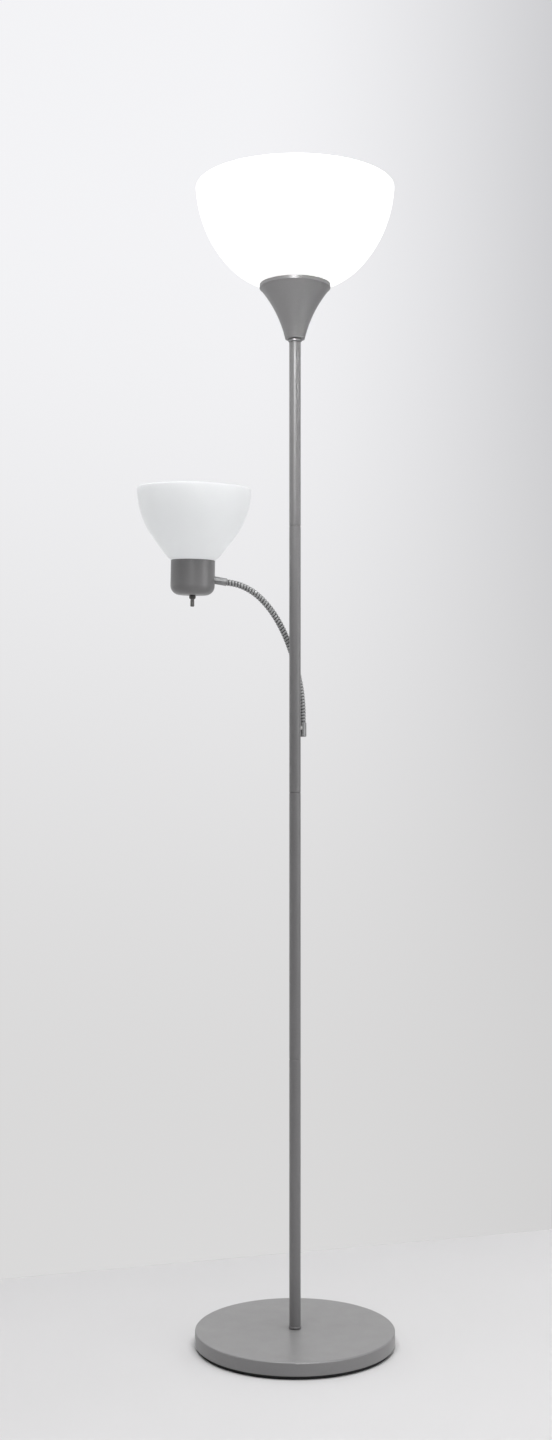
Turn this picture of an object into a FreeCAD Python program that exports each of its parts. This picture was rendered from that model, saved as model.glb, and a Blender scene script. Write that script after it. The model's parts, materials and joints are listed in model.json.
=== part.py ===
import FreeCAD, Part
import math
import os

import Sketcher

# Torchiere floor lamp with a reading light on a gooseneck. Millimetres, +Z up.
# The origin is the centre of the base on the floor. The front of the lamp looks along -Y,
# the reading light hangs out towards -X, and the gooseneck starts just behind the pole.

os.makedirs("parts", exist_ok=True)
doc = FreeCAD.newDocument("torchiere")
sheet = doc.addObject("Spreadsheet::Sheet", "sizes")
sub_parts = []


# ---------------------------------------------------------------- sizes

class Size:
    """A length or an angle: its number now, and the sheet expression that gives it."""

    def __init__(self, number, text):
        self.number = number
        self.text = text

    def joined(self, sign, other):
        other = as_size(other)
        results = {"+": lambda a, b: a + b, "-": lambda a, b: a - b,
                   "*": lambda a, b: a * b, "/": lambda a, b: a / b}
        number = results[sign](self.number, other.number)
        return Size(number, f"({self.text} {sign} {other.text})")

    def __add__(self, other):
        return self.joined("+", other)

    def __sub__(self, other):
        return self.joined("-", other)

    def __mul__(self, other):
        return self.joined("*", other)

    def __truediv__(self, other):
        return self.joined("/", other)

    def __neg__(self):
        return as_size(0).joined("-", self)


def as_size(value):
    return value if isinstance(value, Size) else Size(float(value), repr(float(value)))


def root(value):
    return Size(math.sqrt(value.number), f"sqrt({value.text})")


def cosine(angle):
    return Size(math.cos(math.radians(angle.number)), f"cos({angle.text})")


def sine(angle):
    return Size(math.sin(math.radians(angle.number)), f"sin({angle.text})")


def size(alias, number):
    """Writes one driving dimension in the sheet and returns it."""
    row = size.count = size.count + 1
    sheet.set(f"A{row}", alias)
    sheet.set(f"B{row}", str(number))
    sheet.setAlias(f"B{row}", alias)
    return Size(float(number), f"sizes.{alias}")


size.count = 0

# Clearances
slip_gap = size("slip_gap", 0.1)               # radial play of a fixed piece in its hole
turn_gap = size("turn_gap", 0.3)               # play between pieces that move on each other
cutter_margin = size("cutter_margin", 1)       # how far a cutter runs past what it cuts

# Base
base_radius = size("base_radius", 150)
base_height = size("base_height", 25)
cover_lift = size("cover_lift", 5.5)           # the cover's edge stands this far off the floor
cover_wall = size("cover_wall", 1.2)
cover_corner = size("cover_corner", 2)
tray_wall = size("tray_wall", 2)
pad_inset = size("pad_inset", 4)
weight_play = size("weight_play", 0.5)
recess_radius = size("recess_radius", 18)
recess_depth = size("recess_depth", 8)
gland_radius = size("gland_radius", 5)
gland_bore = size("gland_bore", 3.2)
gland_lip = size("gland_lip", 1.5)
gland_height = size("gland_height", 14.5)
channel_play = size("channel_play", 0.4)

# Threaded tubes, nuts and washers of the pole
thread_radius = size("thread_radius", 5)
thread_bore = size("thread_bore", 3.6)
nut_width = size("nut_width", 14)
nut_height = size("nut_height", 4)
washer_radius = size("washer_radius", 15)
washer_wall = size("washer_wall", 1.6)
anchor_tail = size("anchor_tail", 1)
insert_length = size("insert_length", 24)

# Pole
foot_radius = size("foot_radius", 9.4)
foot_height = size("foot_height", 4)
foot_round = size("foot_round", 2.5)
pole_radius = size("pole_radius", 8.6)
pole_wall = size("pole_wall", 1)
pole_edge = size("pole_edge", 0.4)
joint_face = size("joint_face", 0.25)          # left flat where two sections meet
section_length = size("section_length", 400)
top_section_length = size("top_section_length", 276)
coupler_length = size("coupler_length", 60)

# Head of the pole: ring, flared holder, socket and bowl
neck_radius = size("neck_radius", 10.2)
neck_edge = size("neck_edge", 1.3)
neck_height = size("neck_height", 4.5)
holder_foot_radius = size("holder_foot_radius", 14.6)
holder_rim_radius = size("holder_rim_radius", 53.25)
holder_height = size("holder_height", 81.5)
holder_lip = size("holder_lip", 4.5)
holder_roll = size("holder_roll", 1.5)
holder_wall = size("holder_wall", 1.4)
holder_flare = size("holder_flare", 185)
socket_radius = size("socket_radius", 19.5)
socket_foot_radius = size("socket_foot_radius", 15)
socket_length = size("socket_length", 69)
socket_lift = size("socket_lift", 24)
socket_taper = size("socket_taper", 9)
tube_reach = size("tube_reach", 9)
shoulder_radius = size("shoulder_radius", 24)
shoulder_wall = size("shoulder_wall", 2)
contact_radius = size("contact_radius", 9)
contact_wall = size("contact_wall", 2)
bowl_rim_radius = size("bowl_rim_radius", 148.6)
bowl_height = size("bowl_height", 148.4)
bowl_flat_radius = size("bowl_flat_radius", 16.8)
bowl_floor_radius = size("bowl_floor_radius", 116.4)
bowl_slope = size("bowl_slope", 42.2)
bowl_wall = size("bowl_wall", 2.5)
bowl_lift = size("bowl_lift", 77.6)
ring_width = size("ring_width", 7)
ring_height = size("ring_height", 6)
cap_radius = size("cap_radius", 13.1)
cap_length = size("cap_length", 27)
cap_sink = size("cap_sink", 26)
cap_bevel = size("cap_bevel", 2)
shell_wall = size("shell_wall", 0.8)
bulb_radius = size("bulb_radius", 30)
bulb_length = size("bulb_length", 78)
glass_wall = size("glass_wall", 0.9)

# Gooseneck
arm_rise = size("arm_rise", 105.4)             # hose starts this far above the second joint
arm_reach = size("arm_reach", 11.6)
arm_clearance = size("arm_clearance", 1.5)
hose_radius = size("hose_radius", 5)
hose_groove = size("hose_groove", 4.2)
hose_bore = size("hose_bore", 2.6)
hose_length = size("hose_length", 260.8)
hose_straight = size("hose_straight", 10)
hose_sink = size("hose_sink", 4)
groove_length = size("groove_length", 2)
rib_edge = size("rib_edge", 0.35)
hose_links = size("hose_links", 8)
link_ribs = size("link_ribs", 7)
bend_total = size("bend_total", 80)
bend_start = size("bend_start", 55.7)
bend_end = size("bend_end", 60)
fitting_radius = size("fitting_radius", 5.75)
fitting_length = size("fitting_length", 21.3)
fitting_edge = size("fitting_edge", 1)
fitting_bore_depth = size("fitting_bore_depth", 14)
stud_drop = size("stud_drop", 7.8)
stud_radius = size("stud_radius", 3)
stud_bore = size("stud_bore", 1.7)
stud_nut_radius = size("stud_nut_radius", 4)
stud_nut_height = size("stud_nut_height", 3)
spacer_radius = size("spacer_radius", 4.2)

# Reading light
cup_radius = size("cup_radius", 33.4)
cup_height = size("cup_height", 52)
cup_wall = size("cup_wall", 1)
cup_corner = size("cup_corner", 14)
entry_height = size("entry_height", 23)
entry_length = size("entry_length", 18.2)
head_tilt = size("head_tilt", 1)
head_nod = size("head_nod", 2.5)
spigot_radius = size("spigot_radius", 4)
spigot_length = size("spigot_length", 7)
spigot_play = size("spigot_play", 0.4)
cope_length = size("cope_length", 3)
lock_nut_radius = size("lock_nut_radius", 6.5)
lock_nut_height = size("lock_nut_height", 3.5)
switch_radius = size("switch_radius", 11)
switch_height = size("switch_height", 12)
switch_wall = size("switch_wall", 2)
bushing_radius = size("bushing_radius", 3.5)
bushing_nut_radius = size("bushing_nut_radius", 5)
bushing_length = size("bushing_length", 6)
shaft_radius = size("shaft_radius", 2)
shaft_length = size("shaft_length", 12)
knob_radius = size("knob_radius", 3)
knob_length = size("knob_length", 11.1)
knob_edge = size("knob_edge", 0.6)
knob_flute_count = size("knob_flute_count", 10)
stand_wall = size("stand_wall", 1)
stand_height = size("stand_height", 15)
small_socket_radius = size("small_socket_radius", 13.5)
small_socket_length = size("small_socket_length", 41)
small_shoulder_radius = size("small_shoulder_radius", 17)
small_contact_radius = size("small_contact_radius", 6.1)
small_cap_radius = size("small_cap_radius", 7)
small_cap_length = size("small_cap_length", 22)
small_cap_sink = size("small_cap_sink", 20)
small_bulb_radius = size("small_bulb_radius", 22.5)
small_bulb_length = size("small_bulb_length", 48)
shade_rim_radius = size("shade_rim_radius", 86)
shade_height = size("shade_height", 113.6)
shade_flat_radius = size("shade_flat_radius", 11.7)
shade_floor_radius = size("shade_floor_radius", 38)
shade_slope = size("shade_slope", 37.3)
shade_cone_length = size("shade_cone_length", 29)
shade_wall = size("shade_wall", 2)
shade_lift = size("shade_lift", 46)

doc.recompute()


# ---------------------------------------------------------------- ways of making a piece

def bind(thing, where, value):
    """Sets one property from the sheet."""
    thing.setExpression(where, as_size(value).text)


def plane_of(body, role):
    for feature in body.Origin.OriginFeatures:
        if feature.Role == role:
            return feature
    raise ValueError("no plane " + role)


def new_sketch(body, name, role):
    sketch = body.newObject("Sketcher::SketchObject", name)
    sketch.AttachmentSupport = (plane_of(body, role), [""])
    sketch.MapMode = "FlatFace"
    return sketch


def arc_between(start, end, radius, side):
    """The short arc from start to end; side is +1 when it turns left on the way."""
    chord = end - start
    middle = (start + end) * 0.5
    across = FreeCAD.Vector(-chord.y, chord.x, 0)
    across.normalize()
    sagitta_leg = math.sqrt(max(radius ** 2 - (chord.Length / 2) ** 2, 0))
    centre = middle + across * (side * sagitta_leg)
    first, last = (start, end) if side > 0 else (end, start)
    first_angle = math.atan2(first.y - centre.y, first.x - centre.x)
    last_angle = math.atan2(last.y - centre.y, last.x - centre.x)
    circle = Part.Circle(centre, FreeCAD.Vector(0, 0, 1), radius)
    return Part.ArcOfCircle(circle, first_angle, last_angle)


def draw_outline(sketch, outline):
    """Draws a closed outline whose corners are held by the sheet.

    A corner is (x, y), or (x, y, radius, side) where an arc leaves it.
    """
    corners = [(as_size(corner[0]), as_size(corner[1])) for corner in outline]
    spots = [FreeCAD.Vector(x.number, y.number, 0) for x, y in corners]
    edges = []
    for index, corner in enumerate(outline):
        start = spots[index]
        end = spots[(index + 1) % len(spots)]
        if len(corner) == 2:
            number = sketch.addGeometry(Part.LineSegment(start, end), False)
            edges.append((number, 1, 2))
            continue
        radius, side = as_size(corner[2]), corner[3]
        number = sketch.addGeometry(arc_between(start, end, radius.number, side), False)
        edges.append((number, 1, 2) if side > 0 else (number, 2, 1))
    for index, (number, first, last) in enumerate(edges):
        before, before_first, before_last = edges[index - 1]
        sketch.addConstraint(Sketcher.Constraint("Coincident", before, before_last, number, first))
        for direction, value in zip("XY", corners[index]):
            hold(sketch, direction, number, first, value, f"corner_{index}_{direction}")
    for index, corner in enumerate(outline):
        if len(corner) == 4:
            rule = Sketcher.Constraint("Radius", edges[index][0], as_size(corner[2]).number)
            spot = sketch.addConstraint(rule)
            bind(sketch, f"Constraints[{spot}]", corner[2])


def hold(sketch, direction, number, end, value, name):
    """Holds one end of an edge at a distance from the sketch's origin."""
    if value.number == 0:
        axis = {"X": -2, "Y": -1}[direction]
        sketch.addConstraint(Sketcher.Constraint("PointOnObject", number, end, axis))
        return
    rule = Sketcher.Constraint("Distance" + direction, -1, 1, number, end, value.number)
    spot = sketch.addConstraint(rule)
    sketch.renameConstraint(spot, name)
    bind(sketch, "Constraints." + name, value)


def keep(thing, name):
    """Names a finished piece, which then gets its own file."""
    thing.Label = name
    sub_parts.append(thing)
    return thing


def turned(name, outline, finished=True):
    """A piece of revolution about the vertical axis."""
    body = doc.addObject("PartDesign::Body", name + "_body")
    sketch = new_sketch(body, name + "_profile", "XZ_Plane")
    draw_outline(sketch, outline)
    turn = body.newObject("PartDesign::Revolution", name + "_turn")
    turn.Profile = sketch
    turn.ReferenceAxis = (sketch, ["V_Axis"])
    turn.Angle = 360
    body.Tip = turn
    doc.recompute()
    return keep(body, name) if finished else body


def ring_outline(inner, outer, low, high):
    return [(inner, low), (outer, low), (outer, high), (inner, high)]


def circle_pocket(body, name, role, across, along, radius, depth, backwards):
    """Cuts a round hole from one of the body's origin planes, to one side of it."""
    before = body.Shape.Volume
    sketch = new_sketch(body, name + "_circle", role)
    centre = FreeCAD.Vector(as_size(across).number, as_size(along).number, 0)
    circle = Part.Circle(centre, FreeCAD.Vector(0, 0, 1), as_size(radius).number)
    number = sketch.addGeometry(circle, False)
    hold(sketch, "X", number, 3, as_size(across), "centre_x")
    hold(sketch, "Y", number, 3, as_size(along), "centre_y")
    spot = sketch.addConstraint(Sketcher.Constraint("Radius", number, as_size(radius).number))
    bind(sketch, f"Constraints[{spot}]", radius)
    pocket = body.newObject("PartDesign::Pocket", name)
    pocket.Profile = sketch
    pocket.Reversed = backwards
    bind(pocket, "Length", depth)
    body.Tip = pocket
    doc.recompute()
    if body.Shape.Volume > before - 0.01:
        raise ValueError(name + " cuts nothing")
    return pocket


def hexagon_nut(name, width, bore, low, height):
    """A six-sided nut on the vertical axis."""
    body = doc.addObject("PartDesign::Body", name + "_body")
    sketch = new_sketch(body, name + "_profile", "XY_Plane")
    bind(sketch, "AttachmentOffset.Base.z", low)
    reach = as_size(width) * (1 / math.sqrt(3))
    corners = []
    for step in range(6):
        angle = math.radians(60 * step + 30)
        corners.append((reach * math.cos(angle), reach * math.sin(angle)))
    draw_outline(sketch, corners)
    hole = Part.Circle(FreeCAD.Vector(0, 0, 0), FreeCAD.Vector(0, 0, 1), as_size(bore).number)
    number = sketch.addGeometry(hole, False)
    sketch.addConstraint(Sketcher.Constraint("Coincident", number, 3, -1, 1))
    spot = sketch.addConstraint(Sketcher.Constraint("Radius", number, as_size(bore).number))
    bind(sketch, f"Constraints[{spot}]", bore)
    pad = body.newObject("PartDesign::Pad", name + "_pad")
    pad.Profile = sketch
    bind(pad, "Length", height)
    body.Tip = pad
    doc.recompute()
    return keep(body, name)


def bowl_outline(rim_radius, rim_height, flat_radius, floor, floor_arc, slope, wall, cone=None):
    """Half a bowl: flat floor, arc, optional straight cone, and a last arc up to the rim.

    slope is the wall's angle from the vertical where the last arc begins. The last arc's
    radius is the one that leaves that wall smoothly and ends at the rim.
    """
    out_x, out_y = cosine(slope), -sine(slope)
    knee_x = flat_radius + floor_arc * out_x
    knee_y = floor + floor_arc + floor_arc * out_y
    start_x, start_y = knee_x, knee_y
    if cone is not None:
        start_x = knee_x + cone * sine(slope)
        start_y = knee_y + cone * cosine(slope)
    run_x, run_y = rim_radius - start_x, rim_height - start_y
    span = run_x * run_x + run_y * run_y
    rim_arc = -(span / (run_x * out_x + run_y * out_y) / 2)
    centre_x, centre_y = start_x - rim_arc * out_x, start_y - rim_arc * out_y
    edge_x = rim_radius - wall * (rim_radius - centre_x) / rim_arc
    edge_y = rim_height - wall * (rim_height - centre_y) / rim_arc
    inner_start = (start_x - wall * out_x, start_y - wall * out_y)
    inner_knee = (knee_x - wall * out_x, knee_y - wall * out_y)
    outline = [(0, floor), (flat_radius, floor, floor_arc, 1)]
    if cone is not None:
        outline.append((knee_x, knee_y))
    outline.append((start_x, start_y, rim_arc, 1))
    outline.append((rim_radius, rim_height))
    outline.append((edge_x, edge_y, rim_arc - wall, -1))
    if cone is not None:
        outline.append(inner_start)
    outline.append((inner_knee[0], inner_knee[1], floor_arc - wall, -1))
    outline.append((flat_radius, floor + wall))
    outline.append((0, floor + wall))
    return outline


def inside_floor(radius, flat_radius, floor, floor_arc, wall):
    """How high the inside of a bowl has risen at a radius."""
    inner_arc = floor_arc - wall
    run = radius - flat_radius
    return floor + floor_arc - root(inner_arc * inner_arc - run * run)


def touch_on_ball(neck, centre, ball):
    """Where a straight line from the neck's edge, centre below the ball's middle, touches it."""
    reach = root(neck * neck + centre * centre)
    lean = ball / reach
    rise = root(as_size(1) - lean * lean)
    aim_x, aim_y = neck / reach, -centre / reach
    touch_x = ball * (aim_x * lean - aim_y * rise)
    touch_y = ball * (aim_x * rise + aim_y * lean)
    return touch_x, touch_y


def bulb_outline(low, neck, ball, length, wall):
    """A glass bulb: a cone that opens smoothly from the neck into a ball."""
    reach = length - ball
    centre = low + reach
    outer_x, outer_y = touch_on_ball(neck, reach, ball)
    inner_x, inner_y = touch_on_ball(neck - wall, reach, ball - wall)
    return [(neck - wall, low), (neck, low), (outer_x, centre + outer_y, ball, 1),
            (0, centre + ball), (0, centre + ball - wall, ball - wall, -1),
            (inner_x, centre + inner_y)]


# ---------------------------------------------------------------- base

cover_under = base_height - cover_wall
cover_inside = base_radius - cover_wall
thread_hole = thread_radius + slip_gap
inner_corner = cover_corner - cover_wall
base_cover = turned("base_cover", [
    (thread_hole, cover_under),
    (cover_inside - inner_corner, cover_under, inner_corner, -1),
    (cover_inside, cover_under - inner_corner),
    (cover_inside, cover_lift),
    (base_radius, cover_lift),
    (base_radius, base_height - cover_corner, cover_corner, 1),
    (base_radius - cover_corner, base_height),
    (thread_hole, base_height),
])
circle_pocket(base_cover, "gland_hole", "XZ_Plane", 0, gland_height,
              gland_radius + slip_gap, base_radius * 2, False)

tray_top = cover_lift + tray_wall
weight_radius = cover_inside - weight_play
web_under = tray_top + recess_depth
base_weight = turned("base_weight", [
    (recess_radius, tray_top),
    (weight_radius, tray_top),
    (weight_radius, cover_under - inner_corner),
    (weight_radius - inner_corner, cover_under),
    (thread_hole, cover_under),
    (thread_hole, web_under),
    (recess_radius, web_under),
])

gland_flange = gland_radius + gland_lip
channel_half = gland_flange + channel_play
channel_top = gland_height + channel_half


def rear_channel(body):
    """The way for the lead, cut in the weight's underside from the middle to the rear."""
    before = body.Shape.Volume
    sketch = new_sketch(body, "channel_profile", "XZ_Plane")
    draw_outline(sketch, [(-channel_half, tray_top), (channel_half, tray_top),
                          (channel_half, channel_top), (-channel_half, channel_top)])
    pocket = body.newObject("PartDesign::Pocket", "channel")
    pocket.Profile = sketch
    pocket.Reversed = False
    bind(pocket, "Length", base_radius * 2)
    body.Tip = pocket
    doc.recompute()
    if body.Shape.Volume > before - 0.01:
        raise ValueError("the channel cuts nothing")


rear_channel(base_weight)

turned("base_tray", [(0, cover_lift), (cover_inside - weight_play, cover_lift),
                     (cover_inside - weight_play, tray_top), (0, tray_top)])
pad_radius = base_radius - pad_inset
turned("base_pad", [(0, 0), (pad_radius, 0), (pad_radius, cover_lift), (0, cover_lift)])

gland_neck = cover_wall + slip_gap * 2
cord_gland = turned("cord_gland", [
    (gland_bore, -(gland_neck + gland_lip)),
    (gland_flange, -(gland_neck + gland_lip)),
    (gland_flange, -gland_neck),
    (gland_radius, -gland_neck),
    (gland_radius, 0),
    (gland_flange, 0),
    (gland_flange, gland_lip),
    (gland_bore, gland_lip),
])
cord_gland.Placement.Rotation = FreeCAD.Rotation(FreeCAD.Vector(1, 0, 0), -90)
bind(cord_gland, "Placement.Base.y", base_radius)
bind(cord_gland, "Placement.Base.z", gland_height)

washer_under = web_under - washer_wall
nut_under = washer_under - nut_height
turned("anchor_washer", ring_outline(thread_hole, washer_radius, washer_under, web_under))
hexagon_nut("anchor_nut", nut_width, thread_hole, nut_under, nut_height)


# ---------------------------------------------------------------- pole

pole_foot = base_height + foot_height
joint_1 = pole_foot + section_length
joint_2 = joint_1 + section_length
joint_3 = joint_2 + section_length
pole_top = joint_3 + top_section_length
pole_inside = pole_radius - pole_wall
insert_radius = pole_inside - slip_gap
joint_edge = pole_wall - joint_face

turned("anchor_tube", ring_outline(thread_bore, thread_radius, nut_under - anchor_tail,
                                   pole_foot + insert_length))
turned("foot_ring", [
    (thread_hole, base_height),
    (foot_radius - foot_round, base_height, foot_round, 1),
    (foot_radius, base_height + foot_round),
    (foot_radius, pole_foot - pole_edge),
    (foot_radius - pole_edge, pole_foot),
    (thread_hole, pole_foot),
])


def tube_outline(inner, outer, low, high, edge):
    """A tube whose outer edges are broken, so that a joint shows as a fine groove."""
    low, high = as_size(low), as_size(high)
    return [(inner, low), (outer - edge, low), (outer, low + edge), (outer, high - edge),
            (outer - edge, high), (inner, high)]


section_ends = [pole_foot, joint_1, joint_2, joint_3, pole_top]
pole_tubes = {}
for number in range(1, 5):
    low, high = section_ends[number - 1], section_ends[number]
    name = f"pole_section_{number}"
    outline = tube_outline(pole_inside, pole_radius, low, high, joint_edge)
    pole_tubes[number] = turned(name, outline, finished=False)

for number in range(1, 4):
    middle = section_ends[number]
    half = coupler_length / 2
    turned(f"pole_coupler_{number}",
           ring_outline(thread_radius, insert_radius, middle - half, middle + half))

turned("foot_insert", ring_outline(thread_hole, insert_radius, pole_foot,
                                   pole_foot + insert_length))
turned("top_insert", ring_outline(thread_hole, insert_radius, pole_top - insert_length,
                                  pole_top))


# ---------------------------------------------------------------- gooseneck's course

def number_of(alias):
    return float(sheet.get(alias))


class Course:
    """The gooseneck's centre line: straight out of the pole's fitting, round, and straight
    again into the reading light. It lies in one plane behind the pole."""

    step = 0.25

    def __init__(self):
        self.length = number_of("hose_length")
        self.straight = number_of("hose_straight")
        self.total = number_of("bend_total")
        self.first = number_of("bend_start")
        self.last = number_of("bend_end")
        self.start = FreeCAD.Vector(number_of("arm_reach"), arm_plane.number,
                                    arm_height.number)

    def heading(self, along):
        """The angle from straight up towards -X, in degrees."""
        share = (along - self.straight) / (self.length - 2 * self.straight)
        share = min(max(share, 0), 1)
        middle = self.total - self.first - self.last
        return self.first * share + middle * share ** 2 + self.last * share ** 4

    def direction(self, along):
        turn = math.radians(self.heading(along))
        return FreeCAD.Vector(-math.sin(turn), 0, math.cos(turn))

    def point(self, along):
        """Adds up short straight steps from the start; before and after it runs straight."""
        if along <= 0:
            return self.start + self.direction(0) * along
        count = max(1, math.ceil(min(along, self.length) / self.step))
        stride = min(along, self.length) / count
        spot = FreeCAD.Vector(self.start)
        for index in range(count):
            spot += self.direction((index + 0.5) * stride) * stride
        return spot + self.direction(self.length) * max(0, along - self.length)

    def place(self, along):
        """A placement on the line: its Z runs along the line, and its X is the lamp's Y."""
        across = FreeCAD.Vector(0, 1, 0)
        ahead = self.direction(along)
        turn = FreeCAD.Rotation(across, ahead.cross(across), ahead, "ZXY")
        return FreeCAD.Placement(self.point(along), turn)


arm_plane = pole_radius + hose_radius + arm_clearance
arm_height = joint_2 + arm_rise
course = Course()
link_count = int(number_of("hose_links"))
link_length = course.length / link_count


# ---------------------------------------------------------------- pole's side fitting

stud_height = arm_height - stud_drop
stud_span = root(arm_reach * arm_reach + arm_plane * arm_plane)
stud_angle = math.degrees(math.atan2(arm_plane.number, arm_reach.number))
stud_turn = FreeCAD.Rotation(FreeCAD.Vector(0, 0, 1), stud_angle).multiply(
    FreeCAD.Rotation(FreeCAD.Vector(0, 1, 0), 90))


def along_stud(thing):
    """Lays a piece that was made upright along the stud, which starts at the pole's axis."""
    thing.Placement.Rotation = stud_turn
    bind(thing, "Placement.Base.z", stud_height)
    return thing


def cylinder(name, radius, length):
    """A plain cutter up from the origin."""
    tool = doc.addObject("Part::Cylinder", name)
    bind(tool, "Radius", radius)
    bind(tool, "Height", length)
    return tool


def cut(name, base, tool, finished=True):
    result = doc.addObject("Part::Cut", name + "_cut")
    result.Base = base
    result.Tool = tool
    doc.recompute()
    if result.Shape.Volume > base.Shape.Volume - 0.01:
        raise ValueError(name + " is not cut")
    return keep(result, name) if finished else result


stud_hole = along_stud(cylinder("stud_hole", stud_radius + slip_gap, stud_span))
keep(pole_tubes[1], "pole_section_1")
keep(pole_tubes[2], "pole_section_2")
cut("pole_section_3", pole_tubes[3], stud_hole)
keep(pole_tubes[4], "pole_section_4")

fitting_low = arm_height - fitting_length
hose_hole = hose_groove + slip_gap
fitting_blank = turned("arm_lower_fitting_blank", [
    (0, fitting_low),
    (fitting_radius - fitting_edge, fitting_low),
    (fitting_radius, fitting_low + fitting_edge),
    (fitting_radius, arm_height - pole_edge),
    (fitting_radius - pole_edge, arm_height),
    (hose_hole, arm_height),
    (hose_hole, arm_height - hose_sink),
    (hose_bore, arm_height - hose_sink),
    (hose_bore, arm_height - fitting_bore_depth),
    (0, arm_height - fitting_bore_depth),
], finished=False)
bind(fitting_blank, "Placement.Base.x", arm_reach)
bind(fitting_blank, "Placement.Base.y", arm_plane)
fitting_hole = along_stud(cylinder("fitting_hole", stud_radius + slip_gap, stud_span))
cut("arm_lower_fitting", fitting_blank, fitting_hole)

nut_reach = root(pole_inside * pole_inside - stud_nut_radius * stud_nut_radius) - slip_gap
stud_start = nut_reach - stud_nut_height - slip_gap
stud_end = stud_span - hose_bore - slip_gap
along_stud(turned("arm_stud", ring_outline(stud_bore, stud_radius, stud_start, stud_end)))
along_stud(turned("arm_stud_nut", ring_outline(stud_radius + slip_gap, stud_nut_radius,
                                               nut_reach - stud_nut_height, nut_reach)))
along_stud(turned("arm_spacer", ring_outline(stud_radius + slip_gap, spacer_radius,
                                             pole_radius, stud_span - fitting_radius)))


# ---------------------------------------------------------------- gooseneck

def circle_at(along, radius):
    edge = Part.Circle(FreeCAD.Vector(0, 0, 0), FreeCAD.Vector(0, 0, 1), radius).toShape()
    edge.Placement = course.place(along)
    return Part.Wire([edge])


def ribbed(start, end, first_rib, count):
    """A ribbed length of hose: four circles to a rib, joined by straight lines."""
    crest, groove = number_of("hose_radius"), number_of("hose_groove")
    slope, gap = number_of("rib_edge"), number_of("groove_length")
    pitch = link_length / int(number_of("link_ribs"))
    circles = []
    if start < first_rib:
        circles.append(circle_at(start, groove))
    for number in range(count):
        low = first_rib + number * pitch
        high = low + pitch - gap
        circles.append(circle_at(low, groove))
        circles.append(circle_at(low + slope, crest))
        circles.append(circle_at(high - slope, crest))
        circles.append(circle_at(high, groove))
    if end > first_rib + count * pitch - gap + slope:
        circles.append(circle_at(end, groove))
    return Part.makeLoft(circles, True, True)


def hose_way(start, end):
    """The bore through a length of hose."""
    pitch = link_length / int(number_of("link_ribs"))
    count = max(1, round((end - start) / pitch))
    bore = number_of("hose_bore")
    circles = []
    for number in range(count + 1):
        circles.append(circle_at(start + (end - start) * number / count, bore))
    return Part.makeLoft(circles, True, True)


def gooseneck_link(number):
    """One link. Its top end is a ball, which turns in the hollow foot of the next link."""
    low, high = (number - 1) * link_length, number * link_length
    ball = number_of("hose_groove")
    hollow = ball + number_of("turn_gap")
    sink = number_of("hose_sink")
    count = int(number_of("link_ribs"))
    first, last = number == 1, number == link_count
    start = -sink if first else low
    end = high + sink if last else high
    shape = ribbed(start, end if last else low, low, count)
    if not first:
        shape = shape.cut(Part.makeSphere(hollow, course.point(low)))
    if not last:
        shape = shape.fuse(Part.makeSphere(ball, course.point(high)))
    margin = number_of("cutter_margin")
    way_start = start - (0 if first else ball)
    way_end = end + (0 if last else ball)
    shape = shape.cut(hose_way(way_start - margin, way_end + margin))
    name = f"gooseneck_{number}"
    link = doc.addObject("Part::Feature", name + "_link")
    link.Shape = shape.Solids[0] if len(shape.Solids) == 1 else shape
    return keep(link, name)


for number in range(1, link_count + 1):
    gooseneck_link(number)


# ---------------------------------------------------------------- head of the pole

holder_foot = pole_top + neck_height
holder_floor = holder_foot + holder_wall
holder_top = holder_foot + holder_height
lip_under = holder_top - holder_lip
flare_x = holder_rim_radius - holder_roll
flare_y = lip_under - holder_roll
turned("neck_ring", tube_outline(thread_hole, neck_radius, pole_top, holder_foot, neck_edge))
turned("shade_holder", [
    (thread_hole, holder_foot),
    (holder_foot_radius, holder_foot, holder_flare, -1),
    (flare_x, flare_y, holder_roll, 1),
    (holder_rim_radius, lip_under),
    (holder_rim_radius, holder_top),
    (holder_rim_radius - holder_wall, holder_top),
    (holder_rim_radius - holder_wall, lip_under),
    (flare_x - holder_wall, flare_y + holder_wall / 2, holder_flare, 1),
    (holder_foot_radius - holder_wall, holder_floor),
    (thread_hole, holder_floor),
])

socket_low = holder_foot + socket_lift
socket_high = socket_low + socket_length
bowl_floor = holder_foot + bowl_lift
turned("head_tube", ring_outline(thread_bore, thread_radius, pole_top - insert_length,
                                 socket_low + tube_reach))
hexagon_nut("head_nut", nut_width, thread_hole, holder_floor, nut_height)

cap_low = socket_high - cap_sink
shell_inside = cap_radius + slip_gap
shell_outside = shell_inside + shell_wall
well_radius = shell_outside + slip_gap
contact_floor = cap_low - contact_wall
turned("upper_socket", [
    (thread_hole, socket_low),
    (socket_foot_radius, socket_low),
    (socket_radius, socket_low + socket_taper),
    (socket_radius, bowl_floor - shoulder_wall),
    (shoulder_radius, bowl_floor - shoulder_wall),
    (shoulder_radius, bowl_floor),
    (socket_radius, bowl_floor),
    (socket_radius, socket_high),
    (well_radius, socket_high),
    (well_radius, contact_floor),
    (thread_hole, contact_floor),
])
turned("upper_socket_shell", ring_outline(shell_inside, shell_outside, contact_floor,
                                          socket_high - shell_wall))
turned("upper_socket_contact", [(0, contact_floor), (contact_radius, contact_floor),
                                (contact_radius, cap_low), (0, cap_low)])
turned("upper_bulb_cap", [(0, cap_low), (cap_radius - cap_bevel, cap_low),
                          (cap_radius, cap_low + cap_bevel),
                          (cap_radius, cap_low + cap_length), (0, cap_low + cap_length)])
turned("upper_bulb_glass", bulb_outline(cap_low + cap_length, cap_radius, bulb_radius,
                                        bulb_length, glass_wall))

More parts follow.
